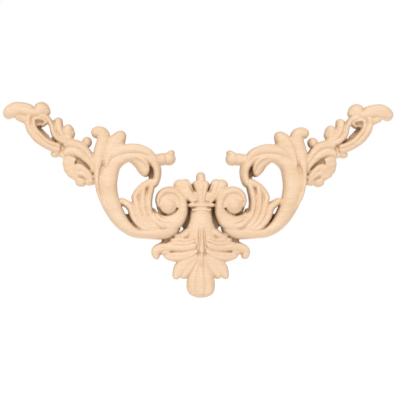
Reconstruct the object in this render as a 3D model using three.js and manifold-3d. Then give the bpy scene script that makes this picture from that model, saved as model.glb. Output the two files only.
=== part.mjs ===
import * as THREE from "three";
import { mergeVertices } from "three/addons/utils/BufferGeometryUtils.js";
import Module from "manifold-3d";

// Wooden corner onlay: one carved piece, mirrored about the upright line x = 0.
// X runs across, Z up and the carving rises toward -Y from a flat back at y = 0.

// Sizes in mm.
const width = 200; // tip to tip
const height = 100; // from the foot of the tongue to the top of the arms
const relief = 11; // highest carving above the back

// The guide points below were drawn 199.2 across, 97.94 high and 10.8 deep on a sheet.
const acrossScale = width / 199.2;
const upScale = height / 97.94;
const reliefScale = relief / 10.8;

// How finely the strips are cut, in sheet mm.
const stepLength = 6.6;
const stepTurn = 0.5; // sharpest turn between two stations, in radians
const sliceBelow = 2; // what is cut away below the back, so that the back is one plane
const bluntTip = 0.45; // width left at the very end of a rounded tip
const tipShare = 0.55; // place of the one station within a rounded tip
const slivers = 0.02; // smallest edge kept after the strips are joined, in mm

// Sections across a strip from one edge to the other: place from -1 to 1 and rise from 0 to 1.
const bead = [[-1, 0], [-0.62, 0.8], [0, 1], [0.62, 0.8], [1, 0]];
const narrow = [[-1, 0], [-0.45, 0.9], [0.45, 0.9], [1, 0]];
const narrowUpTo = 5.6; // widest strip that takes the narrow section, in sheet mm
const flat = [[-1, 1], [1, 1]];
const fluted = (valley) => [[-1, 0], [-0.66, 1], [-0.33, valley], [0, 1], [0.33, valley], [0.66, 1], [1, 0]];

const wasm = await Module();
wasm.setup();

function joined(geometry) {
  geometry.deleteAttribute("normal");
  geometry.deleteAttribute("uv");
  return mergeVertices(geometry, 1e-5);
}

function asSolid(geometry) {
  return new wasm.Manifold(new wasm.Mesh({
    numProp: 3,
    vertProperties: new Float32Array(geometry.attributes.position.array),
    triVerts: new Uint32Array(geometry.index.array),
  }));
}

function mirrored(geometry) {
  const other = geometry.clone();
  other.scale(-1, 1, 1);
  const index = other.index.array;
  for (let i = 0; i < index.length; i += 3) [index[i], index[i + 1]] = [index[i + 1], index[i]];
  return other;
}

// A smooth run of values between the ones given, read at a share from 0 to 1.
function runOf(values) {
  const curve = new THREE.CatmullRomCurve3(
    values.map((v) => new THREE.Vector3(v, 0, 0)), false, "catmullrom", 0.5);
  return (share) => curve.getPoint(share).x;
}

// How far a line turns from end to end, in radians.
function turnOf(line) {
  const ways = Array.from({ length: 33 }, (_, i) => line.getTangentAt(i / 32));
  return ways.slice(1).reduce((sum, way, i) => sum + way.angleTo(ways[i]), 0);
}

// Stations along a strip: one within each rounded tip, even between them and closer on a bend.
function stationsOf(length, turn, [startTip, endTip]) {
  const first = startTip * tipShare;
  const last = length - endTip * tipShare;
  const count = Math.max(1, Math.round((last - first) / stepLength), Math.round(turn / stepTurn));
  const even = Array.from({ length: count + 1 }, (_, i) => first + ((last - first) * i) / count);
  return [...(startTip > 0 ? [0] : []), ...even, ...(endTip > 0 ? [length] : [])];
}

function roundedTip(distance, tip) {
  if (tip <= 0 || distance >= tip) return 1;
  return Math.max(bluntTip, Math.sqrt(1 - (1 - distance / tip) ** 2));
}

// A carved strip: a section extruded along a smooth line over the back, with its own width and
// crest height along the way. The edge stands at a share of the crest, and tilt lifts one side.
function strip(points, widths, crests, { edge = 0.5, tips = [2, 2], tilt = 0, section } = {}) {
  const across = section ?? (Math.max(...widths) > narrowUpTo ? bead : narrow);
  const line = new THREE.CatmullRomCurve3(
    points.map(([x, z]) => new THREE.Vector3(x, 0, z)), false, "catmullrom", 0.5);
  line.arcLengthDivisions = 120;
  const length = line.getLength();
  const stations = stationsOf(length, turnOf(line), tips);
  const widthAt = runOf(widths);
  const crestAt = runOf(crests);
  const outline = new THREE.Shape([[-1, -1], [1, -1], ...across.slice().reverse()]
    .map(([t, rise]) => new THREE.Vector2(t, rise)));
  const steps = stations.length - 1;
  const geometry = new THREE.ExtrudeGeometry(outline, { depth: steps, steps, bevelEnabled: false });
  const position = geometry.attributes.position;
  for (let i = 0; i < position.count; i += 1) {
    const t = position.getX(i);
    const rise = position.getY(i);
    const distance = stations[Math.round(position.getZ(i))];
    const share = distance / length;
    const taper = Math.min(roundedTip(distance, tips[0]), roundedTip(length - distance, tips[1]));
    const at = line.getPointAt(share);
    const along = line.getTangentAt(share);
    const half = (widthAt(share) / 2) * taper;
    const crest = crestAt(share) * (edge + (1 - edge) * rise * taper) + tilt * t * taper;
    position.setXYZ(i,
      (at.x - along.z * half * t) * acrossScale,
      -(rise < 0 ? -sliceBelow : crest) * reliefScale,
      (at.z + along.x * half * t) * upScale);
  }
  return joined(geometry);
}

const bothSides = (...geometries) => geometries.flatMap((g) => [g, mirrored(g)]);

// A low plate that closes the ground between carved strips.
const ground = (points, widths, level, tips = [1, 1]) =>
  strip(points, widths, [level, level], { edge: 1, tips, section: flat });

function spiral([x, z], startAngle, endAngle, radii) {
  const radiusAt = runOf(radii);
  const count = 13;
  return Array.from({ length: count }, (_, i) => {
    const share = i / (count - 1);
    const angle = THREE.MathUtils.degToRad(startAngle + (endAngle - startAngle) * share);
    const radius = radiusAt(share);
    return [x + radius * Math.cos(angle), z + radius * Math.sin(angle)];
  });
}

function cScroll() {
  const body = strip(
    [[10.5, -4], [17, -6.6], [25, -7.4], [32.4, -7], [37.8, -3.8], [41.8, 0.8], [45, 6.6], [47, 12.4],
      [47.6, 18.6], [45.2, 26.2], [39.6, 30.6], [32.8, 31.6], [26.4, 30.4], [22.6, 25.8], [22.3, 20.6],
      [24.2, 15.6]],
    [4, 6.4, 5.6, 4.6, 6, 7.6, 8.8, 9.8, 10.6, 9.8, 7.4, 5.6, 5, 4.8, 4, 3.4],
    [7, 8, 8.2, 8.2, 8.6, 8.8, 9, 9.2, 9.2, 8.8, 8.6, 8.6, 8.6, 8.6, 8.4, 8.2],
    { tips: [3, 3], tilt: 0.7 });
  const topBand = strip([[46, 30.4], [40.6, 33.8], [34.4, 35], [28.8, 34], [24.8, 31.2], [21.8, 26.6]],
    [2.4, 4.4, 4.8, 4.4, 3.6, 2], [8, 9, 9.4, 9.4, 9.2, 8.6], { edge: 0.8, tips: [3, 4] });
  return bothSides(body, topBand);
}

function topCurl() {
  const leaf = strip([[40, 31.2], [34.4, 30.6], [30.4, 28], [28.8, 24.6], [27.6, 21]],
    [2.4, 5.4, 7, 6.6, 3], [8.6, 8.4, 7.8, 7.6, 6.8], { tips: [3, 1.8] });
  const neck = strip([[25, 29.2], [21.6, 29.6], [18, 30]], [4.4, 5.2, 5.6], [8.6, 8, 7.4], { edge: 0.55 });
  const boss = strip([[19.4, 30], [12.8, 30]], [6.6, 6.6], [7.2, 6.6], { edge: 0.45, tips: [3.3, 3.3] });
  const sideLobe = strip([[17.6, 31.4], [13.4, 33.6]], [3, 3], [7, 5.6], { edge: 0.55, tips: [1, 1.5] });
  return bothSides(leaf, neck, boss, sideLobe, ground([[26, 31], [24.6, 20]], [6, 3.4], 2));
}

function rimLeaves() {
  const rim = strip([[43.6, 0.4], [49.4, 8], [52, 15], [52.4, 24], [51, 32.6], [49.2, 38.6]],
    [1, 1.6, 2, 2.4, 4, 6.2], [7, 8, 8.8, 9, 8.8, 8.2], { edge: 0.6, tips: [4, 2.4] });
  const hook = strip([[49.8, 35.8], [49.4, 39.8], [51, 42.6], [54.6, 41.4]], [5, 6.8, 6.6, 5],
    [8.4, 7.8, 6.8, 5.4], { edge: 0.6, tips: [1, 2.4] });
  const spur = strip([[48.4, 24], [47, 30], [44.4, 35.6], [41.6, 39.8], [38.8, 43.4]],
    [1.6, 4.4, 7.4, 8, 3.8], [9, 8.8, 8.2, 7.4, 5.6], { edge: 0.55, tips: [3, 1.8] });
  const spurFoot = strip([[46, 31], [42.4, 35], [38.8, 38.4]], [2, 4, 3.6], [8.6, 8, 6.6], { edge: 0.6 });
  const floor = ground([[47.5, 5.5], [50.4, 14], [51, 24], [50, 32]], [2, 3, 4, 4], 6.4, [2, 2]);
  return bothSides(rim, hook, spur, spurFoot, floor);
}

// The acanthus leaf inside the scroll: flutes spread evenly between an outer and an inner line.
function innerLeaf() {
  const outer = [[23, -6.4], [29.6, -4.2], [33.8, 0.6], [35.8, 6]];
  const inner = [[17, -4.6], [23.2, -1.8], [26, 4], [26.4, 10.4]];
  const heads = [[41.4, 9.8], [33.8, 12.6], [29, 16.4], [24.2, 18.4]];
  const flutes = heads.map((head, k) => {
    const f = k / (heads.length - 1);
    const points = outer.map(([x, z], i) => [x * (1 - f) + inner[i][0] * f, z * (1 - f) + inner[i][1] * f]);
    return strip([...points, head], [2.4, 3.2, 3.8 - 0.4 * f, 4 - 0.4 * f, 3.2 - 0.4 * f],
      [7.6, 8.4, 8.6, 8.2 + 0.6 * f, 6.2 + 2 * f], { edge: 0.55, tips: [2, 1.6] });
  });
  const edgeRoll = strip([[34.4, 9.4], [32.6, 12.6], [30, 15.6], [26.8, 17.6], [23.4, 19.4]],
    [3, 3.6, 3.8, 4, 3], [6, 6.4, 7, 7.8, 8.4], { edge: 0.6, tips: [1.6, 2] });
  const floor = ground([[22, -5], [27, -2], [31, 4], [31, 11], [27, 16]], [6, 8, 8, 5, 2], 5.8, [2, 2]);
  const slot = ground([[38.6, 2], [34.4, -3], [29, -6]], [3.4, 3.4, 3], 1.2);
  return bothSides(...flutes, edgeRoll, floor, slot);
}

function volute() {
  const turns = spiral([16.7, 7.5], -28, -385, [8.9, 9.8, 9.6, 8.5, 7.6, 7.2, 7, 6.7, 6.1, 5.3, 4.7]);
  const coil = strip(turns, [5, 7.4, 8.2, 7.4, 5.6, 4.8, 4.5, 4.2, 3.6, 2.6, 1.6],
    [7.2, 8, 8.8, 9, 9, 9, 9, 9, 9, 8.8, 8.6], { edge: 0.6, tips: [2, 4] });
  const eye = strip([[12.2, 7], [21.2, 7]], [9, 9], [9.4, 9.4], { edge: 0.7, tips: [4.5, 4.5] });
  const flute = strip([[24.4, 3.8], [23.6, 0.4], [20.8, -2.6], [16, -4]], [1.8, 2.6, 2.6, 1.6],
    [7.6, 9.2, 9.8, 9.2], { edge: 0.7, tips: [1.4, 4] });
  const shelf = ground([[13, 10.8], [20.6, 10.4]], [6.4, 6.4], 8, [2, 2]);
  const floor = ground([[9.5, 6], [21.6, 5]], [14, 9], 1.6, [4, 2]);
  const pit = ground([[24, 5.4], [24.8, 1]], [3, 4], 3.4, [1.2, 1]);
  return bothSides(coil, eye, flute, shelf, floor, pit);
}

function trunk() {
  const bell = strip([[0, 6.4], [0, 2], [0, -2], [0, -6], [0, -10], [0, -14]],
    [10.6, 11.2, 13, 17, 17, 14], [9.2, 9.6, 10, 9.9, 9.4, 8.6], { tips: [0, 2] });
  const collar = strip([[-6.6, 7], [6.6, 7]], [2, 2], [9.9, 9.9], { edge: 0.75, tips: [1, 1] });
  const plate = ground([[0, -8], [0, -13], [0, -19.4]], [9, 8, 6], 8.6);
  const spine = strip([[0, -3.4], [0, -8], [0, -13], [0, -16]], [1, 1.6, 2.4, 3], [10.4, 10.8, 11, 10],
    { edge: 0.8, tips: [2, 1.4] });
  const lowSpine = strip([[0, -15], [0, -19], [0, -24]], [2, 1.8, 1.4], [9.8, 9.4, 9],
    { edge: 0.8, tips: [1, 2] });
  const flare = strip([[5, -4.4], [7.4, -7], [10.4, -8.6], [13.8, -9]], [3, 4.4, 3.6, 2.4],
    [9, 9.4, 8.8, 7], { tips: [3, 1.6] });
  const floor = ground([[2, 9.4], [7.4, 2], [6, -5]], [11, 8, 5], 1.6);
  return [bell, collar, plate, spine, lowSpine, ...bothSides(flare, floor)];
}

function crown() {
  const middle = strip([[0, 7.6], [0, 13.4], [0, 20]], [3.4, 5, 8.8], [9.2, 9.2, 7.4],
    { edge: 0.6, tips: [1, 2.6] });
  const finial = strip([[0, 17.6], [0, 23.4]], [4.6, 4.2], [8.4, 5.8], { edge: 0.55, tips: [2, 1.8] });
  const lobe = strip([[1.6, 8.6], [5, 13.4], [7.8, 20]], [2.4, 4.4, 5], [9.2, 8.6, 5.8],
    { edge: 0.6, tips: [1, 1.8] });
  const outerLobe = strip([[3.6, 8], [8, 13], [12.5, 19.2]], [2.4, 5, 5.2], [9, 8.2, 5.6],
    { edge: 0.6, tips: [1, 1.8] });
  const root = ground([[0, 8], [0, 13.4]], [11, 13], 8);
  const floor = ground([[0, 8], [0, 14], [0, 18]], [10, 15, 19], 2.4, [1, 2]);
  return [middle, finial, root, floor, ...bothSides(lobe, outerLobe)];
}

function skirt() {
  const folds = [
    [[[2.6, -8.6], [7, -10.4], [11, -10.5], [14.6, -10.8]], [10.4, 9.6, 8.4, 6.8]],
    [[[2.6, -10.4], [7.4, -12.1], [12, -12.1], [16, -12.4]], [10.4, 9.4, 8.2, 6.4]],
  ].map(([points, crests]) => strip(points, [1.8, 2.4, 2.3, 1.8], crests, { edge: 0.65, tips: [2, 1.2] }));
  const curl = strip(
    [[2, -12.8], [8, -14.2], [14.5, -14], [19.4, -14], [22.6, -15.6], [22.8, -18], [21.6, -20]],
    [3.4, 4.2, 4, 4, 4.4, 4.4, 3], [10.6, 9.6, 8.6, 7.6, 6.8, 6.2, 5.2], { edge: 0.6, tips: [2, 1.8] });
  const hook = strip([[15.6, -15.6], [18.6, -16.6], [19, -18.2]], [2.6, 3.4, 3], [6.6, 6.2, 5.2],
    { edge: 0.65, tips: [1, 1.6] });
  const broad = strip([[1.8, -15.2], [7, -17.8], [13, -18.6], [19, -18]], [2.6, 5, 5.6, 3],
    [10, 9, 7.6, 5.6], { edge: 0.55, tips: [1, 2] });
  const down = strip([[1.8, -17.6], [6.6, -20.8], [10, -24], [13.5, -30]], [2.4, 4.6, 6.4, 2.6],
    [9, 8.4, 7.6, 5.8], { edge: 0.6, tips: [1, 1.2] });
  const downInner = strip([[1.4, -18], [4.6, -22], [7.4, -25.6], [10.4, -29.4]], [2.4, 5, 6, 4.4],
    [8.8, 8.2, 7.4, 5.8], { edge: 0.55, tips: [1, 1.6] });
  const tongue = strip([[0, -15], [0, -21], [0, -26], [0, -30], [0, -34], [0, -39.4]],
    [2.4, 4, 9, 13.4, 14.2, 10.6], [9, 8.6, 8, 8, 7.8, 6.6], { tips: [2, 2.6], section: fluted(0.78) });
  const floor = ground([[1, -13.5], [12, -12.4], [20.6, -14.6], [21.4, -18.2]], [14, 10, 6, 3.4], 3.6,
    [1, 2]);
  const pits = ground([[13, -8], [20, -11.6]], [3, 3.4], 1);
  return [tongue, ...bothSides(...folds, curl, hook, broad, down, downInner, floor, pits)];
}

// The flower opens downward: petals over a fan of outer folds round a deep slit.
function flower() {
  const throat = [61, 27.5];
  const reach = 8.8;
  const folds = [-68, -38, -8, 22].map((angle) => {
    const turn = THREE.MathUtils.degToRad(angle);
    const [x, z] = [0.3, 1].map((share) => share * reach).map((r) =>
      [throat[0] + r * Math.cos(turn), throat[1] + r * Math.sin(turn)]);
    return strip([x, z], [4, 5.4], [6.8, 4.8], { edge: 0.65, tips: [0, 1.8] });
  });
  const petals = [
    strip([[70, 36.4], [65.5, 37.4], [61, 36.6], [57.3, 34], [54.6, 30], [53.2, 25.6]],
      [3, 4, 4.2, 4.2, 4, 3], [6.2, 7, 7.4, 7.4, 7.2, 6.8]),
    strip([[69, 33], [65.4, 34], [61.6, 32.8], [58.2, 30.2], [55.4, 26.6], [54, 22.8]],
      [2.6, 3.6, 3.8, 3.6, 3.2, 2.6], [6, 6.8, 7.2, 7, 6.8, 6.4], { edge: 0.6 }),
    strip([[65.6, 25.6], [61.6, 25.8], [57.8, 23.8], [54.2, 20]], [3, 3.6, 3.4, 2.6], [5.8, 6.8, 6.8, 6.2],
      { edge: 0.6 }),
    strip([[64, 21.6], [60.4, 22.6], [57, 20.8], [54, 17.6]], [2.8, 3.2, 3, 2.6], [5.6, 6.4, 6.2, 5.8],
      { edge: 0.6 }),
  ];
  const ends = [
    strip([[60.8, 16], [60.4, 20.6]], [5, 4.4], [5, 6], { tips: [2.2, 1.6] }),
    strip([[56.2, 16.8], [56.6, 20.4]], [4.4, 4], [5, 5.8], { tips: [2, 1] }),
  ];
  const bud = strip([[59.4, 37], [57.6, 38.8], [55.6, 40]], [4, 5, 4.4], [6, 6, 5.2], { tips: [1.6, 2.1] });
  const floors = [
    ground([[68, 33.2], [55, 22]], [8, 14], 1.6, [2, 2]),
    ground([[69.4, 35], [64.6, 31.6]], [5, 5.6], 4.6),
    ground([[60.6, 22], [58, 19]], [6, 6], 4.4),
  ];
  return bothSides(...folds, ...petals, ...ends, bud, ...floors);
}

function arm() {
  const outerStem = strip(
    [[66, 34], [71.4, 34.4], [77.6, 36.6], [83, 40.4], [86.4, 45.4], [86.6, 50], [84, 53]],
    [3, 3.6, 4, 4, 3.8, 3.6, 3], [6.4, 6.2, 6.2, 6.2, 6.2, 6.2, 5.8], { edge: 0.55 });
  const upperStem = strip([[66, 36.8], [70.4, 38.4], [73.8, 42], [75.2, 46.4], [77.4, 49.8], [82, 51.4]],
    [2.6, 3, 3, 2.8, 2.8, 2.6], [6.6, 6.8, 6.6, 6.4, 6.2, 6], { edge: 0.6 });
  const spray = strip([[65.4, 37.8], [69.4, 40.4], [71.8, 44.8], [72.4, 50.6]], [2.6, 3.6, 4.4, 4.2],
    [6.4, 6.6, 6.2, 4.8], { edge: 0.55, tips: [2, 1.6] });
  const lobe = strip([[65, 37.6], [67.2, 40.8], [67.2, 44.2], [64.8, 46]], [3, 5, 6.2, 4.6],
    [6.2, 6, 5.6, 4.6], { edge: 0.55, tips: [2, 2.2] });
  const lobeTip = strip([[67, 42.4], [63.6, 42]], [4.4, 4], [5.4, 4.6], { edge: 0.55, tips: [1.4, 1.4] });
  const curl = strip([[84, 49.4], [81.4, 49.6], [79, 48.8], [78, 46.6], [79.8, 45.2]], [2, 2, 2, 2.2, 2.2],
    [5.8, 5.8, 5.6, 5.4, 5.2], { edge: 0.65, tips: [1, 1.4] });
  const buds = [
    strip([[71.6, 33.8], [73.4, 32.2], [75.8, 32.2]], [3, 3.4, 2.4], [5.2, 5, 4.2], { tips: [1, 1.4] }),
    strip([[70, 33], [70.8, 30.6]], [3.4, 3], [5, 4.4], { tips: [1, 1.2] }),
  ];
  const floors = [
    ground([[81.8, 49.4], [79.8, 47.2]], [4.6, 4], 4.1),
    ground([[77, 39.6], [70, 36.6]], [3, 3], 2.4),
    ground([[85.4, 50], [85.2, 46], [81.6, 41.4]], [3, 3, 3], 3.6),
    ground([[82.4, 45.8], [79.8, 42.8], [76.8, 40.2]], [2.2, 2.6, 2.2], 1.2),
  ];
  return bothSides(outerStem, upperStem, spray, lobe, lobeTip, curl, ...buds, ...floors);
}

function tipLeaves() {
  const main = strip([[80.6, 51.6], [85.6, 53], [90.6, 54.4], [96, 53.8], [98.6, 50.2]],
    [4, 5.2, 6, 6.2, 3.4], [6.2, 6.4, 6.2, 5.6, 4.2], { edge: 0.45, tips: [2, 2.4] });
  const fold = strip([[84, 55], [88.6, 56.2], [94, 56.2], [99, 53.8]], [2.6, 3.2, 3.8, 3], [5.2, 5.2, 5, 4],
    { tips: [2, 2.4] });
  const under = strip([[85.6, 48.8], [92.6, 51.8]], [5.6, 4.4], [5.2, 4.8], { tips: [1.6, 2] });
  const top = strip([[82.6, 52], [80.4, 54.6], [79.4, 58.2]], [4, 7.6, 5.6], [6, 5.8, 4.6],
    { tips: [1.6, 2.6] });
  const topSide = strip([[81.4, 53], [76, 54.2]], [4, 5], [5.6, 4.8], { tips: [1.6, 2.2] });
  return bothSides(main, fold, under, top, topSide);
}

function onlay() {
  const strips = [...trunk(), ...crown(), ...skirt(), ...volute(), ...innerLeaf(), ...cScroll(),
    ...topCurl(), ...rimLeaves(), ...flower(), ...arm(), ...tipLeaves()];
  const carved = strips.map(asSolid).reduce((whole, piece) => whole.add(piece));
  const depth = sliceBelow * reliefScale * 2;
  const below = new THREE.BoxGeometry(width * 1.2, depth, height * 3);
  below.translate(0, depth / 2, 0);
  const { vertProperties, triVerts } = carved.subtract(asSolid(joined(below))).simplify(slivers).getMesh();
  const geometry = new THREE.BufferGeometry();
  geometry.setAttribute("position", new THREE.BufferAttribute(new Float32Array(vertProperties), 3));
  geometry.setIndex(new THREE.BufferAttribute(new Uint32Array(triVerts), 1));
  geometry.computeVertexNormals();
  return geometry;
}

const wood = new THREE.MeshStandardMaterial({ color: 0xdfb98f, roughness: 0.75, metalness: 0 });
const carving = new THREE.Mesh(onlay(), wood);
carving.name = "corner_onlay";

const part = new THREE.Group();
part.add(carving);

export default part;
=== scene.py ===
import bisect
import math

import bmesh
import bpy
from mathutils import Matrix, Vector
from mathutils.bvhtree import BVHTree
from mathutils.geometry import interpolate_bezier


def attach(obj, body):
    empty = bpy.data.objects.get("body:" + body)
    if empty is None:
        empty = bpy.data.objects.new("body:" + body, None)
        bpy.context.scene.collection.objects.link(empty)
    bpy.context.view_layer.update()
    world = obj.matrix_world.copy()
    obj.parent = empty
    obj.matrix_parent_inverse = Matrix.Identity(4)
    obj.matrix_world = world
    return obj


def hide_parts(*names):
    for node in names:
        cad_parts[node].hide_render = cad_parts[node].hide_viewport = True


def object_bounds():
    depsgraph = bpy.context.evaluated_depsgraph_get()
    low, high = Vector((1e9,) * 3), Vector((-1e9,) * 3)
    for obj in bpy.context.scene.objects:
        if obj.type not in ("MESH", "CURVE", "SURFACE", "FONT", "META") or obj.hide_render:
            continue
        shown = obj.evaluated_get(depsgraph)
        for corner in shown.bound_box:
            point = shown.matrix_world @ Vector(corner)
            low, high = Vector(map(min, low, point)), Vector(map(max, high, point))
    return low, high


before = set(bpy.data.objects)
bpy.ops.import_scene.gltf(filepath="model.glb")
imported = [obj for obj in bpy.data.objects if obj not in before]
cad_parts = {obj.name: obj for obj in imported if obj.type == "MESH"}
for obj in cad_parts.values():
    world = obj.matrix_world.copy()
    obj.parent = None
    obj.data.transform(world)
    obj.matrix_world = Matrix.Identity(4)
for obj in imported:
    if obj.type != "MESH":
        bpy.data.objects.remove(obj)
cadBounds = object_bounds()

# Wooden corner onlay: one carved piece. One half is drawn on a sheet and mirrored about x = 0.
# X runs across, Z up, and the carving rises toward -Y from a flat back at y = 0.

onlay = {
    "width": 0.200,             # tip to tip, metres
    "height": 0.100,            # foot of the tongue to the top of the arms
    "relief": 0.011,            # highest carving above the back
    "sheet": (199.2, 10.8, 97.94),  # width, relief and height as drawn, in sheet mm
    "lineSteps": 24,            # points between two drawn points of a line
    "spiralPoints": 25,
    "step": 0.55,               # along a strip, sheet mm
    "acrossStep": 0.34,         # across a strip, sheet mm
    "edgeCrowding": 0.7,        # how much closer the cuts lie toward a strip's edges
    "tipSteps": 7,              # cuts round a rounded end
    "shortest": 0.05,           # run between two rounded ends that still gets cuts, sheet mm
    "tipLeft": 0.03,            # share of the width left at the very tip
    "below": 1.5,               # how far strips pass the back before it is cut flat, sheet mm
    "voxel": 0.0003,            # metres, grid on which the strips grow together
    "quickVoxel": 0.0006,
    "sanding": 0.5,
    "sandings": 2,
    "triangles": 190000,
    "creaseAngle": 55,          # degrees, sharper creases stay crisp
}


def smoothLine(points):
    steps = onlay["lineSteps"]
    knots = [Vector(p) for p in points]
    knots = [knots[0] * 2 - knots[1], *knots, knots[-1] * 2 - knots[-2]]
    line = []
    for a, b, c, d in zip(knots, knots[1:], knots[2:], knots[3:]):
        line += interpolate_bezier(b, b + (c - a) / 6, c - (d - b) / 6, c, steps + 1)[:-1]
    return line + [knots[-2]]


def valueAt(run, share):
    place = share * (len(run) - 1)
    i = min(int(place), len(run) - 2)
    return run[i] + (run[i + 1] - run[i]) * (place - i)


def stationsAlong(length, tips):
    start, end = tips
    steps = onlay["tipSteps"]
    turn = [math.radians(90 * i / steps) for i in range(steps)]
    first = [start * (1 - math.cos(a)) for a in turn] if start else []
    last = [length - end * (1 - math.cos(a)) for a in reversed(turn)] if end else []
    free = length - start - end
    count = max(1, round(free / onlay["step"]))
    even = [start + free * i / count for i in range(count + 1)]
    if free <= onlay["shortest"]:
        even = [length - end]
    return first + even + last


def roundEnd(distance, tip):
    if not tip or distance >= tip:
        return 1.0
    return max(onlay["tipLeft"], math.sqrt(max(0.0, 1 - (1 - distance / tip) ** 2)))


gouges = {
    "beadPower": 2.2,           # 2 is a half circle, more is squarer
    "reedPower": 4,
    "veinWidth": 0.16,          # shares of half the strip's width
    "creaseWidth": 0.06,
}


# Sections across a strip, from one edge at -1 to the other at 1.
def bead(t):
    return math.sqrt(max(0.0, 1 - abs(t) ** gouges["beadPower"]))


def flat(t):
    return 1.0


def veined(depth):
    return lambda t: bead(t) * (1 - depth * math.exp(-(t / gouges["veinWidth"]) ** 2))


# A bead with a crease on either side of its ridge.
def creased(place, depth):
    return lambda t: bead(t) * (
        1 - depth * math.exp(-((abs(t) - place) / gouges["creaseWidth"]) ** 2))


def reeded(count, depth):
    return lambda t: math.sqrt(max(0.0, 1 - t ** gouges["reedPower"])) * (
        1 - depth + depth * abs(math.sin(count * math.pi * (t + 1) / 2)))


# One gouged strip: a grid bent along a smooth line, with its own width and crest along the way,
# its edge standing at a share of the crest, and tilt lifting one side. It is closed behind.
# Points are across and up on the sheet, and all sizes are sheet mm.
def carve(shape, points, widths, crests, edge=0.5, tips=(2, 2), tilt=0.0, section=bead):
    line = smoothLine([(x, 0, z) for x, z in points])
    reached = [0.0]
    for a, b in zip(line, line[1:]):
        reached.append(reached[-1] + (b - a).length)
    length = reached[-1]
    widthRun = [v.x for v in smoothLine([(w, 0, 0) for w in widths])]
    crestRun = [v.x for v in smoothLine([(c, 0, 0) for c in crests])]
    stations = stationsAlong(length, tips)
    rows = len(stations) - 1
    columns = max(6, round(max(widths) / onlay["acrossStep"]))
    scale = [size / drawn for size, drawn in
             zip((onlay["width"], onlay["relief"], onlay["height"]), onlay["sheet"])]
    crowding = onlay["edgeCrowding"]
    grid = bmesh.ops.create_grid(shape, x_segments=rows, y_segments=columns, size=1.0)
    for vert in grid["verts"]:
        distance = stations[round((vert.co.x + 1) / 2 * rows)]
        t = crowding * math.sin(vert.co.y * math.pi / 2) + (1 - crowding) * vert.co.y
        i = min(bisect.bisect_right(reached, distance), len(line) - 1)
        share = (distance - reached[i - 1]) / max(1e-9, reached[i] - reached[i - 1])
        at = line[i - 1].lerp(line[i], share)
        way = (line[min(i + 1, len(line) - 1)] - line[max(i - 2, 0)]).normalized()
        taper = min(roundEnd(distance, tips[0]), roundEnd(length - distance, tips[1]))
        half = valueAt(widthRun, distance / length) / 2 * taper * t
        rise = edge + (1 - edge) * section(t) * taper
        lift = valueAt(crestRun, distance / length) * rise + tilt * t * taper
        vert.co = ((at.x - way.z * half) * scale[0], -lift * scale[1], (at.z + way.x * half) * scale[2])
    top = {face for vert in grid["verts"] for face in vert.link_faces}
    edges = {e for face in top for e in face.edges}
    made = bmesh.ops.extrude_face_region(shape, geom=[*grid["verts"], *edges, *top], use_keep_orig=True)
    for vert in made["geom"]:
        if isinstance(vert, bmesh.types.BMVert):
            vert.co.y = onlay["below"] * scale[1]


# A level floor between strips, which closes what isn't pierced.
def ground(shape, points, widths, level, tips=(1, 1)):
    carve(shape, points, widths, [level, level], edge=1.0, tips=tips, section=flat)


def spiral(centre, startAngle, endAngle, radii):
    run = [v.x for v in smoothLine([(r, 0, 0) for r in radii])]
    count = onlay["spiralPoints"]
    points = []
    for i in range(count):
        share = i / (count - 1)
        angle = math.radians(startAngle + (endAngle - startAngle) * share)
        radius = valueAt(run, share)
        points.append((centre[0] + radius * math.cos(angle), centre[1] + radius * math.sin(angle)))
    return points


# The large scroll, from under the volute out, up and round to its curled end, with its inner rim.
def cScroll(shape):
    carve(shape, [(10.5, -4), (17, -6.6), (25, -7.4), (32.4, -7), (37.8, -3.8), (41.8, 0.8), (45, 6.6),
                  (47, 12.4), (47.6, 18.6), (45.2, 26.2), (39.6, 30.6), (32.8, 31.6), (26.4, 30.4),
                  (22.6, 25.8), (22.3, 20.6), (24.2, 15.6)],
          [4, 6.4, 5.6, 4.6, 6, 7.6, 8.8, 9.8, 10.6, 9.8, 7.4, 5.6, 5, 4.8, 4, 3.4],
          [7, 8, 8.2, 8.2, 8.6, 8.8, 9, 9.2, 9.2, 8.8, 8.6, 8.6, 8.6, 8.6, 8.4, 8.2],
          tips=(3, 3), tilt=0.7)
    carve(shape, [(46, 30.4), (40.6, 33.8), (34.4, 35), (28.8, 34), (24.8, 31.2), (21.8, 26.6)],
          [2.4, 4.4, 4.8, 4.4, 3.6, 2], [8, 9, 9.4, 9.4, 9.2, 8.6], edge=0.8, tips=(3, 4))


# The leaf that curls in at the top of the scroll, and the stub that points to the middle.
def topCurl(shape):
    carve(shape, [(40, 31.2), (34.4, 30.6), (30.4, 28), (28.8, 24.6), (27.6, 21)],
          [2.4, 5.4, 7, 6.6, 3], [8.6, 8.4, 7.8, 7.6, 6.8], edge=0.5, tips=(3, 1.8))
    carve(shape, [(36, 31.6), (30.6, 30), (27.4, 26.6), (26.8, 22.6)], [2, 2.8, 2.6, 1.6],
          [9, 9, 8.6, 7.8], edge=0.6, tips=(3, 2))
    carve(shape, [(25, 29.2), (21.4, 29.6), (17, 30)], [4.8, 5.8, 6.4], [8.6, 8, 7.2], edge=0.55)
    carve(shape, [(19.4, 30), (12.8, 30)], [6.6, 6.6], [7.2, 6.6], edge=0.45, tips=(3.3, 3.3))
    carve(shape, [(17.6, 31.4), (13.4, 33.6)], [3, 3], [7, 5.6], edge=0.55, tips=(1, 1.5))
    ground(shape, [(26, 31), (24.6, 20)], [6, 3.4], 2)


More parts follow.
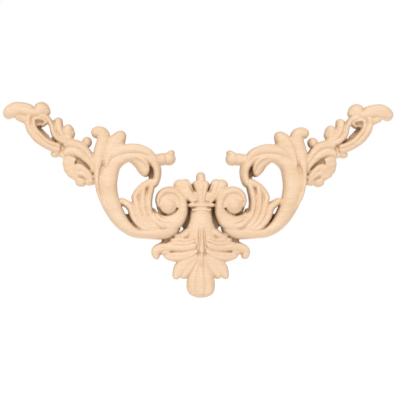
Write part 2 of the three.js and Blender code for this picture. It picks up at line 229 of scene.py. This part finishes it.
# The long leaf round the scroll's outside with its hooked tip, and the two leaves beside it.
def rimLeaves(shape):
    carve(shape, [(43.6, 0.4), (49.4, 8), (52, 15), (52.4, 24), (51, 32.6), (49.2, 38.6), (49.8, 42.2),
                  (52.4, 43), (54.6, 41)],
          [1, 1.6, 2, 2.4, 3.4, 6, 7, 6.6, 5], [7, 8, 8.8, 9, 8.8, 8.2, 7.4, 6.6, 5.4],
          edge=0.6, tips=(4, 2.4))
    carve(shape, [(48.4, 24), (47, 30), (44.4, 35.6), (41.6, 39.8), (38.8, 43.4)],
          [1.6, 4.4, 7.4, 8, 3.8], [9, 8.8, 8.2, 7.4, 5.6], edge=0.55, tips=(3, 1.8),
          section=veined(0.06))
    carve(shape, [(46, 31), (42.4, 35), (38.8, 38.4)], [2, 4, 3.6], [8.6, 8, 6.6], edge=0.6)
    ground(shape, [(47.5, 5.5), (50.4, 14), (51, 24), (50, 32)], [2, 3, 4, 4], 6.4, (2, 2))


# The acanthus leaf inside the scroll: flutes spread evenly between an outer and an inner line.
def innerLeaf(shape):
    outer = [(23, -6.4), (29.6, -4.2), (33.8, 0.6), (35.8, 6)]
    inner = [(17, -4.6), (23.2, -1.8), (26, 4), (26.4, 10.4)]
    heads = [(41.4, 9.8), (33.8, 12.6), (29, 16.4), (24.2, 18.4)]
    for k, head in enumerate(heads):
        f = k / (len(heads) - 1)
        line = [(a[0] * (1 - f) + b[0] * f, a[1] * (1 - f) + b[1] * f) for a, b in zip(outer, inner)]
        carve(shape, [*line, head], [2.4, 3.2, 3.8 - 0.4 * f, 4 - 0.4 * f, 3.2 - 0.4 * f],
              [7.6, 8.4, 8.6, 8.2 + 0.6 * f, 6.2 + 2 * f], edge=0.55, tips=(2, 1.6))
    carve(shape, [(34.4, 9.4), (32.6, 12.6), (30, 15.6), (26.8, 17.6), (23.4, 19.4)],
          [3, 3.6, 3.8, 4, 3], [6, 6.4, 7, 7.8, 8.4], edge=0.6, tips=(1.6, 2))
    ground(shape, [(22, -5), (27, -2), (31, 4), (31, 11), (27, 16)], [6, 8, 8, 5, 2], 5.8, (2, 2))
    ground(shape, [(38.6, 2), (34.4, -3), (29, -6)], [3.4, 3.4, 3], 1.2)


# The snail at the middle, its eye, and the flutes that run into it.
def volute(shape):
    carve(shape, spiral((16.7, 7.5), -28, -385, [8.9, 9.8, 9.6, 8.5, 7.6, 7.2, 7, 6.7, 6.1, 5.3, 4.7]),
          [5, 7.4, 8.4, 8.4, 6.4, 4.8, 4.5, 4.2, 3.6, 2.6, 1.6],
          [7.2, 8, 8.8, 9, 9, 9, 9, 9, 9, 8.8, 8.6], edge=0.6, tips=(2, 4))
    carve(shape, [(12.2, 7), (21.2, 7)], [9, 9], [9.4, 9.4], edge=0.7, tips=(4.5, 4.5))
    carve(shape, [(14, 7.2), (19.2, 7.2)], [5.2, 5.2], [9.9, 9.9], edge=0.9, tips=(2.6, 2.6))
    carve(shape, [(24.4, 3.8), (23.6, 0.4), (20.8, -2.6), (16, -4)], [1.8, 2.6, 2.6, 1.6],
          [7.6, 9.2, 9.8, 9.2], edge=0.7, tips=(1.4, 4))
    carve(shape, [(22, 2.6), (20.8, 0.2), (17.6, -1.2), (13.4, -0.4)], [1.4, 2, 2, 1.4],
          [7.6, 9, 9.4, 9], edge=0.8, tips=(1.4, 4))
    ground(shape, [(13, 10.8), (20.6, 10.4)], [6.4, 6.4], 8, (2, 2))
    ground(shape, [(10.8, 6.6), (22.4, 6.6)], [11.6, 11.6], 3.6, (5.8, 5.8))
    ground(shape, [(12, 11), (11.4, 5.6)], [2.6, 2], 7.8)
    ground(shape, [(9.5, 6), (21.6, 5)], [14, 9], 1.6, (4, 2))
    ground(shape, [(24, 5.4), (24.8, 1)], [3, 4], 3.4, (1.2, 1))


# What lies between the trunk and the volute.
def trunkSides(shape):
    carve(shape, [(5, -4.4), (7.4, -7), (10.4, -8.6), (13.8, -9)], [3, 4.4, 3.6, 2.4],
          [9, 9.4, 8.8, 7], tips=(3, 1.6))
    ground(shape, [(2, 9.4), (7.4, 2), (6, -5)], [11, 8, 5], 1.6)


# The bell-shaped trunk, its collar, and the spine down to the button where the leaves meet.
def trunkMiddle(shape):
    carve(shape, [(0, 6.4), (0, 2), (0, -2), (0, -8)], [10.6, 11.2, 13, 16.6], [9.2, 9.7, 9.8, 8.4],
          tips=(0, 0))
    carve(shape, [(0, 0.4), (0, -4.4), (0, -9.2), (0, -14)], [10.6, 14.6, 17.4, 14],
          [9.1, 9.9, 9.7, 8.8], tips=(0, 2), section=creased(0.15, 0.22))
    carve(shape, [(-6.6, 7), (6.6, 7)], [2, 2], [9.9, 9.9], edge=0.75, tips=(1, 1))
    carve(shape, [(-5, 4.7), (5, 4.7)], [1.3, 1.3], [9.8, 9.8], edge=0.85, tips=(0.8, 0.8))
    ground(shape, [(0, -11), (0, -15)], [9, 7], 8.5)
    ground(shape, [(0, -14.6), (0, -19.4)], [7, 5], 7.8)
    carve(shape, [(-1.5, -15.4), (1.5, -15.4)], [3.2, 3.2], [10.8, 10.8], edge=0.7, tips=(1.5, 1.5))
    carve(shape, [(0, -3.4), (0, -8), (0, -13), (0, -16)], [1, 1.6, 2.4, 3],
          [10.3, 10.6, 10.8, 10], edge=0.8, tips=(2, 1.4))
    carve(shape, [(0, -15), (0, -19), (0, -24)], [2, 1.8, 1.4], [9.8, 9.4, 9], edge=0.8, tips=(1, 2))


# The crown's outer leaves.
def crownSides(shape):
    carve(shape, [(2.2, 8.6), (6.2, 13.4), (8.8, 19.8)], [2.4, 3.8, 4.8], [9.2, 8.6, 5.8],
          edge=0.6, tips=(1, 1.8))
    carve(shape, [(3.6, 8), (8, 13), (12.5, 19.2)], [2.4, 5, 5.2], [9, 8.2, 5.6],
          edge=0.6, tips=(1, 1.8))
    ground(shape, [(3, 9), (7.4, 14.2), (9.4, 17.6)], [3, 6, 8], 6.2)


# The crown's middle leaf with its bead, and the web behind the crown.
def crownMiddle(shape):
    carve(shape, [(0, 7.6), (0, 11.8), (0, 15.8), (0, 19.6)], [3.4, 4.8, 7.4, 9.6], [9.2, 9.2, 9, 7.2],
          edge=0.6, tips=(1, 2.6), section=reeded(3, 0.16))
    carve(shape, [(0, 17.6), (0, 23.4)], [4.6, 4.2], [8.4, 5.8], edge=0.55, tips=(2, 1.8))
    ground(shape, [(0, 8), (0, 13.4)], [11, 13], 8)
    ground(shape, [(0, 8), (0, 14), (0, 18)], [10, 15, 19], 2.4, (1, 2))


# The leaves that spread under the trunk, from the upper folds to the lowest pair.
def skirt(shape):
    carve(shape, [(2.6, -8.6), (7, -10.4), (11.4, -10.3), (15.8, -10.5)], [1.8, 2.4, 2.4, 2],
          [10.4, 9.6, 8.4, 6.8], edge=0.65, tips=(2, 1.2))
    carve(shape, [(2.6, -10.4), (7.4, -12.1), (12.6, -12), (17.6, -12.4)], [1.8, 2.4, 2.4, 2],
          [10.4, 9.4, 8.2, 6.4], edge=0.65, tips=(2, 1.2))
    carve(shape, [(2, -12.8), (8, -14.2), (14.5, -14), (19.4, -14), (22.6, -15.6), (22.8, -18),
                  (21.6, -20)],
          [3.4, 4.2, 4, 4, 4.4, 4.4, 3], [10.6, 9.6, 8.6, 7.6, 6.8, 6.2, 5.2], edge=0.6, tips=(2, 1.8))
    carve(shape, [(15.6, -15.6), (18.6, -16.6), (19, -18.2)], [2.6, 3.4, 3], [6.6, 6.2, 5.2],
          edge=0.65, tips=(1, 1.6))
    carve(shape, [(1.8, -15.2), (7, -17.8), (13, -18.6), (19, -18)], [2.6, 5, 5.6, 3],
          [10, 9, 7.6, 5.6], edge=0.55, tips=(1, 2), section=veined(0.12))
    carve(shape, [(1.8, -17.6), (6.6, -20.8), (10, -24), (13.5, -30)], [2.4, 4.6, 6.4, 2.6],
          [9, 8.4, 7.6, 5.8], edge=0.6, tips=(1, 1.2), section=veined(0.08))
    carve(shape, [(1.4, -18), (4.6, -22), (7.4, -25.6), (10.4, -29.4)], [2.4, 5, 6, 4.4],
          [8.8, 8.2, 7.4, 5.8], edge=0.55, tips=(1, 1.6), section=veined(0.08))
    ground(shape, [(1, -13.5), (12, -12.4), (20.6, -14.6), (21.4, -18.2)],
           [14, 10, 6, 3.4], 3.6, (1, 2))
    ground(shape, [(13, -8), (19.6, -11.8)], [3, 2.6], 1)


# The drop at the foot.
def tongue(shape):
    carve(shape, [(0, -15), (0, -21), (0, -26), (0, -30), (0, -34), (0, -39.4)],
          [2.4, 4, 9, 13.4, 14.2, 10.6], [9, 8.6, 8, 8, 7.8, 6.6],
          tips=(2, 2.6), section=reeded(3, 0.24))


fan = {
    "throat": (61, 27.5),       # sheet mm
    "reach": 8.8,
    "from": 0.3,                # share of the reach where the folds start
    "angles": (-72, -48, -24, 0, 24),
}


# The flower opens downward: petals over a fan of outer folds round a deep slit.
def flower(shape):
    throat = Vector(fan["throat"])
    for angle in fan["angles"]:
        turn = math.radians(angle)
        fold = Vector((math.cos(turn), math.sin(turn))) * fan["reach"]
        carve(shape, [throat + fold * fan["from"], throat + fold],
              [3.6, 4.8], [6.8, 4.8], edge=0.65, tips=(0, 1.8))
    carve(shape, [(69.6, 36.6), (65.5, 37.2), (61, 36.2), (57.6, 33.4), (55.3, 30), (53.4, 25.6)],
          [4, 5, 4.6, 4, 3.4, 2.6], [6.2, 6.8, 7.2, 7.4, 7.2, 6.8], tips=(1.6, 2))
    carve(shape, [(69.8, 32.4), (65.4, 33.6), (61.6, 32.4), (58.2, 29.8), (55.4, 26.4), (53.8, 22.4)],
          [3.4, 4.4, 4.2, 3.6, 2.8, 2], [6.2, 6.8, 7.2, 7, 6.8, 6.4], edge=0.6, tips=(1.6, 2))
    carve(shape, [(67.6, 29.6), (64.8, 29.8), (63.8, 28)], [3, 3, 2.6], [5.8, 6.2, 5.6], edge=0.65)
    carve(shape, [(65.4, 25.6), (61.4, 26), (57.4, 23.2), (54, 19.2)], [3.2, 3.8, 3.4, 2.6],
          [5.8, 6.8, 6.8, 6.2], edge=0.55)
    carve(shape, [(64, 22), (60.4, 22.8), (57, 20.8), (54, 17.2)], [3, 3.4, 3.2, 2.8],
          [5.6, 6.4, 6.2, 5.8], edge=0.55)
    carve(shape, [(61, 16), (60.4, 20.6)], [6, 5], [5, 6], tips=(2.4, 1.6), section=veined(0.14))
    carve(shape, [(56.2, 16.6), (56.6, 20.4)], [5, 4], [5, 5.8], tips=(2, 1), section=veined(0.14))
    ground(shape, [(69.4, 34), (64.6, 31)], [6, 6], 4.6)
    ground(shape, [(60.6, 22), (58, 19)], [6, 6], 4.4)
    carve(shape, [(59, 36.6), (57.4, 38.2), (55.2, 39)], [4, 5.4, 5], [6, 6.2, 5.4], tips=(1.6, 2.4))
    ground(shape, [(68, 33.2), (55, 22)], [8, 14], 4, (2, 2))
    ground(shape, [(53.8, 33.4), (52.6, 29)], [3, 2.4], 1.6)


# The looped stem beyond the flower, its buds and the small leaves on both sides.
def arm(shape):
    carve(shape, [(70.4, 34.3), (74, 35), (78.2, 37), (83, 40.4), (86.4, 45.4), (86.6, 50), (84, 53)],
          [3.4, 3.8, 4, 4, 3.8, 3.6, 3], [6.4, 6.2, 6.2, 6.2, 6.2, 6.2, 5.8], edge=0.5, tips=(1.2, 2))
    carve(shape, [(70.4, 35.8), (76.8, 38.2), (80.6, 41.4), (83.6, 45.2), (84.2, 50.6)],
          [2.4, 2.6, 2.6, 2.4, 2], [6.8, 6.9, 6.7, 6.4, 6], edge=0.6, tips=(1.2, 2))
    carve(shape, [(66, 37.6), (70.4, 38.8), (73.8, 42), (75.2, 46.4), (77.4, 49.8), (82, 51.4)],
          [2.6, 3.2, 3.2, 2.8, 2.8, 2.6], [6.6, 6.8, 6.6, 6.4, 6.2, 6], edge=0.5)
    carve(shape, [(65.4, 38.2), (69.2, 40.8), (71.5, 44.8), (72.2, 50.4)], [2.6, 3.6, 4.4, 4.4],
          [6.2, 6.4, 6, 4.8], edge=0.4, tips=(2, 1.6), section=veined(0.1))
    carve(shape, [(65, 37.6), (67, 40.6), (66.8, 43.8), (64.4, 45.2)], [3, 5, 6.4, 5],
          [6.2, 6, 5.6, 4.6], edge=0.45, tips=(2, 2.2))
    carve(shape, [(67, 42.4), (63.6, 42)], [4.4, 4], [5.4, 4.6], edge=0.55, tips=(1.4, 1.4))
    carve(shape, [(84, 49.6), (81.4, 49.8), (78.8, 49), (77.8, 46.8)],
          [2, 2, 2, 2], [5.8, 5.8, 5.6, 5.4], edge=0.6, tips=(1, 1))
    carve(shape, [(80, 47.6), (78.6, 46.2)], [3.8, 3.6], [5.6, 5.2], edge=0.5, tips=(1.8, 1.7))
    carve(shape, [(71.6, 33.8), (73.4, 32.2), (75.8, 32.2)], [3, 3.4, 2.4], [5.2, 5, 4.2],
          tips=(1, 1.4))
    carve(shape, [(70, 33), (70.8, 30.6)], [3.4, 3], [5, 4.4], tips=(1, 1.2))
    ground(shape, [(82, 49), (80.4, 46.6)], [5, 3.4], 3.6)
    ground(shape, [(70.2, 37), (69.8, 32.6)], [3.4, 3], 4.4)
    ground(shape, [(77, 39.6), (70, 36.6)], [3, 3], 2.4)
    ground(shape, [(85.4, 50), (85.2, 46), (81.6, 41.4)], [3, 3, 3], 3.6)
    ground(shape, [(82.6, 46), (79.8, 42.8), (76.8, 40.2)], [2, 2.4, 2], 1)


# The leaves at the arm's end.
def tipLeaves(shape):
    carve(shape, [(80.6, 51.6), (85.6, 52.8), (90.6, 54), (95.8, 53), (98.2, 49.8)],
          [4, 5.4, 6.4, 7, 4.6], [6.2, 6.4, 6.2, 5.6, 4.2], edge=0.45, tips=(2, 2.6))
    carve(shape, [(84, 54.6), (88.6, 56), (94, 55.8), (98.6, 53)], [2.6, 3.2, 3.8, 3.4],
          [5.4, 5.4, 5.2, 4], tips=(2, 2.4))
    carve(shape, [(85.6, 48.8), (93.4, 51.6)], [5.6, 4.6], [5.2, 4.8], tips=(1.6, 2))
    carve(shape, [(82.4, 52), (80.4, 54.6), (79.4, 58)], [4, 7.6, 6], [6, 5.8, 4.6], edge=0.4,
          tips=(1.6, 2.6))
    carve(shape, [(81.4, 52.6), (76, 53.8)], [4, 5.4], [5.6, 4.8], tips=(1.6, 2.4))


# The piece's mesh with its modifiers applied.
def evaluated(piece):
    graph = bpy.context.evaluated_depsgraph_get()
    return bpy.data.meshes.new_from_object(piece.evaluated_get(graph))


# Cuts everything behind the back away and closes the cut with one flat face.
def flattenBack(mesh):
    shape = bmesh.new()
    shape.from_mesh(mesh)
    bmesh.ops.bisect_plane(shape, geom=[*shape.verts, *shape.edges, *shape.faces], dist=1e-7,
                           plane_co=(0, 0, 0), plane_no=(0, 1, 0), clear_outer=True)
    rim = [edge for edge in shape.edges if edge.is_boundary]
    bmesh.ops.triangle_fill(shape, edges=rim, use_beauty=False, use_dissolve=False, normal=(0, 1, 0))
    shape.to_mesh(mesh)
    shape.free()


def carvedOnlay():
    shape = bmesh.new()
    for part in (cScroll, topCurl, rimLeaves, innerLeaf, volute, trunkSides, crownSides, skirt, flower,
                 arm, tipLeaves):
        part(shape)
    bmesh.ops.mirror(shape, geom=[*shape.verts, *shape.edges, *shape.faces], matrix=Matrix(),
                     merge_dist=0, axis="X")
    for part in (trunkMiddle, crownMiddle, tongue):
        part(shape)
    bmesh.ops.recalc_face_normals(shape, faces=shape.faces)
    mesh = bpy.data.meshes.new("carvedOnlay")
    shape.to_mesh(mesh)
    shape.free()
    print("strips", len(mesh.polygons), "faces")
    piece = bpy.data.objects.new("carvedOnlay", mesh)
    bpy.context.collection.objects.link(piece)
    fuse = piece.modifiers.new("fuse", "REMESH")
    fuse.mode = "VOXEL"
    fuse.voxel_size = onlay["voxel"]
    sand = piece.modifiers.new("sand", "SMOOTH")
    sand.factor = onlay["sanding"]
    sand.iterations = onlay["sandings"]
    fused = evaluated(piece)
    print("fused", len(fused.polygons), "faces")
    flattenBack(fused)
    piece.modifiers.clear()
    piece.data = fused
    fused.calc_loop_triangles()
    count = len(fused.loop_triangles)
    thin = piece.modifiers.new("thin", "DECIMATE")
    thin.ratio = min(1.0, onlay["triangles"] / count)
    piece.data = evaluated(piece)
    piece.modifiers.clear()
    piece.data.name = "carvedOnlay"
    piece.data.shade_smooth()
    piece.data.set_sharp_from_angle(angle=math.radians(onlay["creaseAngle"]))
    markHollows(piece.data)
    print("onlay", count, "to", len(piece.data.polygons), "triangles")
    return piece


hollows = {
    "rays": 16,
    "reach": 0.008,         # metres, walls farther off don't count
    "lift": 0.0001,         # where a ray starts above the wood
}


# How deep each point lies in a hollow, from rays over its own half of the sky: 0 open, 1 closed in. The
# wood's painted shade follows it.
def markHollows(mesh):
    tree = BVHTree.FromPolygons([v.co for v in mesh.vertices], [p.vertices for p in mesh.polygons])
    rays, golden = hollows["rays"], math.pi * (3 - math.sqrt(5))
    sky = []
    for i in range(rays):
        up = math.sqrt((i + 0.5) / rays)
        side = math.sqrt(1 - up * up)
        sky.append(Vector((side * math.cos(i * golden), side * math.sin(i * golden), up)))
    mark = mesh.attributes.new("hollow", "FLOAT", "POINT")
    for vert, value in zip(mesh.vertices, mark.data):
        turn = vert.normal.to_track_quat("Z", "Y")
        start = vert.co + vert.normal * hollows["lift"]
        hits = sum(tree.ray_cast(start, turn @ ray, hollows["reach"])[0] is not None for ray in sky)
        value.value = hits / rays


def linear(code):
    parts = [int(code[i:i + 2], 16) / 255 for i in (1, 3, 5)]
    return (*[c / 12.92 if c <= 0.04045 else ((c + 0.055) / 1.055) ** 2.4 for c in parts], 1.0)


# Adds a node. A colour mix has its two colours at sockets 6 and 7, a number mix at 2 and 3.
def addNode(tree, kind, links=None, **settings):
    node = tree.nodes.new(kind)
    for name, value in settings.items():
        setattr(node, name, value)
    for socket, source in (links or {}).items():
        if isinstance(source, bpy.types.NodeSocket):
            tree.links.new(source, node.inputs[socket])
        else:
            node.inputs[socket].default_value = source
    return node


rubberwood = {
    "pale": "#EBCFB2",
    "deep": "#DFBC98",
    "pore": "#BE9A76",
    "paintedShade": "#A88A68",    # painted shade: darker brown deep in the carving, where the wood is closed in
    "paintedShadeSpan": (0.26, 0.94),     # share of the sky shut off, where the painted shade starts and is full
    "band": 0.0075,         # growth band, metres
    "bandDetail": 3.0,
    "streak": 0.0008,       # grain streak, drawn a little coarse to show
    "streakDetail": 4.0,
    "streakMix": 0.6,
    "toneSpan": (0.72, 1.32),       # bands and streaks together, from pale to deep
    "pores": 0.00045,       # pore width, drawn twice as wide to show
    "poreDetail": 1.0,
    "poreSpan": (0.66, 0.78),       # few and short
    "poreShare": 0.5,
    "stretch": 0.06,        # how far the grain is drawn out along the board
    "roughness": 0.6,
    "ior": 1.45,
    "fibreHeight": 0.000008,
}


# Bare rubberwood, routed and sanded, unfinished: a pale even cream with faint streaks along the
# board and short fine pores, quite matt, with no varnish.
def rubberwoodMaterial():
    wood = bpy.data.materials.new("rubberwood_sanded")
    wood.use_nodes = True
    tree = wood.node_tree
    tree.nodes.clear()
    place = addNode(tree, "ShaderNodeTexCoord").outputs["Object"]
    board = addNode(tree, "ShaderNodeMapping",
                    {"Vector": place, "Scale": (rubberwood["stretch"], 1.0, 1.0)}).outputs[0]
    bands = addNode(tree, "ShaderNodeTexNoise", {
        "Vector": board, "Scale": 1 / rubberwood["band"], "Detail": rubberwood["bandDetail"]})
    streaks = addNode(tree, "ShaderNodeTexNoise", {
        "Vector": board, "Scale": 1 / rubberwood["streak"], "Detail": rubberwood["streakDetail"],
        "Roughness": rubberwood["streakMix"]})
    both = addNode(tree, "ShaderNodeMath", {0: bands.outputs[0], 1: streaks.outputs[0]},
                   operation="ADD")
    tone = addNode(tree, "ShaderNodeMapRange", {
        "Value": both.outputs[0], "From Min": rubberwood["toneSpan"][0],
        "From Max": rubberwood["toneSpan"][1]})
    body = addNode(tree, "ShaderNodeMix", {
        "Factor": tone.outputs[0], 6: linear(rubberwood["pale"]), 7: linear(rubberwood["deep"])},
        data_type="RGBA")
    pores = addNode(tree, "ShaderNodeTexNoise", {
        "Vector": board, "Scale": 1 / rubberwood["pores"], "Detail": rubberwood["poreDetail"]})
    holes = addNode(tree, "ShaderNodeMapRange", {
        "Value": pores.outputs[0], "From Min": rubberwood["poreSpan"][0],
        "From Max": rubberwood["poreSpan"][1], "To Max": rubberwood["poreShare"]})
    colour = addNode(tree, "ShaderNodeMix", {
        "Factor": holes.outputs[0], 6: body.outputs[2], 7: linear(rubberwood["pore"])},
        data_type="RGBA")
    # Painted shade: the wood turns darker brown where the hollow attribute finds the sky shut off.
    hollow = addNode(tree, "ShaderNodeAttribute", attribute_name="hollow")
    depth = addNode(tree, "ShaderNodeMapRange", {
        "Value": hollow.outputs["Fac"], "From Min": rubberwood["paintedShadeSpan"][0],
        "From Max": rubberwood["paintedShadeSpan"][1]})
    shaded = addNode(tree, "ShaderNodeMix", {
        "Factor": depth.outputs[0], 6: colour.outputs[2], 7: linear(rubberwood["paintedShade"])},
        data_type="RGBA")
    fibres = addNode(tree, "ShaderNodeMath", {0: streaks.outputs[0], 1: holes.outputs[0]},
                     operation="SUBTRACT")
    bump = addNode(tree, "ShaderNodeBump", {
        "Height": fibres.outputs[0], "Distance": rubberwood["fibreHeight"], "Strength": 1.0})
    surface = addNode(tree, "ShaderNodeBsdfPrincipled", {
        "Base Color": shaded.outputs[2], "Normal": bump.outputs[0],
        "IOR": rubberwood["ior"],
        "Roughness": rubberwood["roughness"]})
    addNode(tree, "ShaderNodeOutputMaterial", {"Surface": surface.outputs[0]})
    return wood


studio = {
    "floorDrop": 0.30,      # below the foot of the carving, metres
    "floorReach": 6.0,
    "paper": "#FFFFFF",
    "paperRoughness": 0.9,
    "glow": 0.26,           # lifts the paper until floor and surround meet without a line
    "backdrop": 1.0,        # white surround as it is seen
    "fill": 0.36,           # the same surround as a light
    "key": 2.2,             # soft light from above and in front
    "keyFrom": (-0.25, -1.0, 1.05),
    "keySpread": 28,        # degrees, softens its shadows
}


# Matt white background paper.
def paleMaterial():
    paper = bpy.data.materials.new("matt_white_paper")
    paper.use_nodes = True
    surface = paper.node_tree.nodes["Principled BSDF"]
    surface.inputs["Base Color"].default_value = linear(studio["paper"])
    surface.inputs["Roughness"].default_value = studio["paperRoughness"]
    surface.inputs["Emission Color"].default_value = linear(studio["paper"])
    surface.inputs["Emission Strength"].default_value = studio["glow"]
    return paper


def layFloor():
    shape = bmesh.new()
    bmesh.ops.create_grid(shape, x_segments=1, y_segments=1, size=studio["floorReach"])
    bmesh.ops.translate(shape, verts=shape.verts, vec=(0, 0, cadBounds[0].z - studio["floorDrop"]))
    mesh = bpy.data.meshes.new("paleFloor")
    shape.to_mesh(mesh)
    shape.free()
    floor = bpy.data.objects.new("paleFloor", mesh)
    mesh.materials.append(paleMaterial())
    bpy.context.collection.objects.link(floor)


def lightStudio():
    world = bpy.data.worlds.new("whiteSurround")
    world.use_nodes = True
    tree = world.node_tree
    tree.nodes.clear()
    ray = addNode(tree, "ShaderNodeLightPath")
    strength = addNode(tree, "ShaderNodeMix", {
        "Factor": ray.outputs["Is Camera Ray"], 2: studio["fill"], 3: studio["backdrop"]})
    white = addNode(tree, "ShaderNodeBackground", {
        "Color": (1, 1, 1, 1), "Strength": strength.outputs[0]})
    addNode(tree, "ShaderNodeOutputWorld", {"Surface": white.outputs[0]})
    bpy.context.scene.world = world
    light = bpy.data.lights.new("softKey", "SUN")
    light.energy = studio["key"]
    light.angle = math.radians(studio["keySpread"])
    key = bpy.data.objects.new("softKey", light)
    key.rotation_euler = Vector(studio["keyFrom"]).to_track_quat("Z", "Y").to_euler()
    bpy.context.collection.objects.link(key)
    bpy.context.scene.view_settings.view_transform = "Standard"


photo = {
    "aim": (-0.0002, 0.0, 0.0097),  # what stands at the middle of the view
    "across": 0.2051,               # metres across the view at that depth
    "lens": 100.0,
    "sensor": 36.0,
    "turn": -4.4,                   # degrees, seen a little from the left
    "rise": 0.0,
}


def placeCamera():
    lens = bpy.data.cameras.new("photographCamera")
    lens.lens = photo["lens"]
    lens.sensor_width = photo["sensor"]
    camera = bpy.data.objects.new("photographCamera", lens)
    distance = photo["across"] / 2 / (lens.sensor_width / 2 / lens.lens)
    turn, rise = math.radians(photo["turn"]), math.radians(photo["rise"])
    back = Vector((math.sin(turn) * math.cos(rise), -math.cos(turn) * math.cos(rise), math.sin(rise)))
    camera.location = Vector(photo["aim"]) + back * distance
    camera.rotation_euler = (-back).to_track_quat("-Z", "Y").to_euler()
    bpy.context.collection.objects.link(camera)
    bpy.context.scene.camera = camera


placeCamera()
lightStudio()
layFloor()
print("studio ready")

carving = carvedOnlay()
carving.data.materials.clear()
carving.data.materials.append(rubberwoodMaterial())
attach(carving, "root")
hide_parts("corner_onlay")
print("onlay carved and finished")
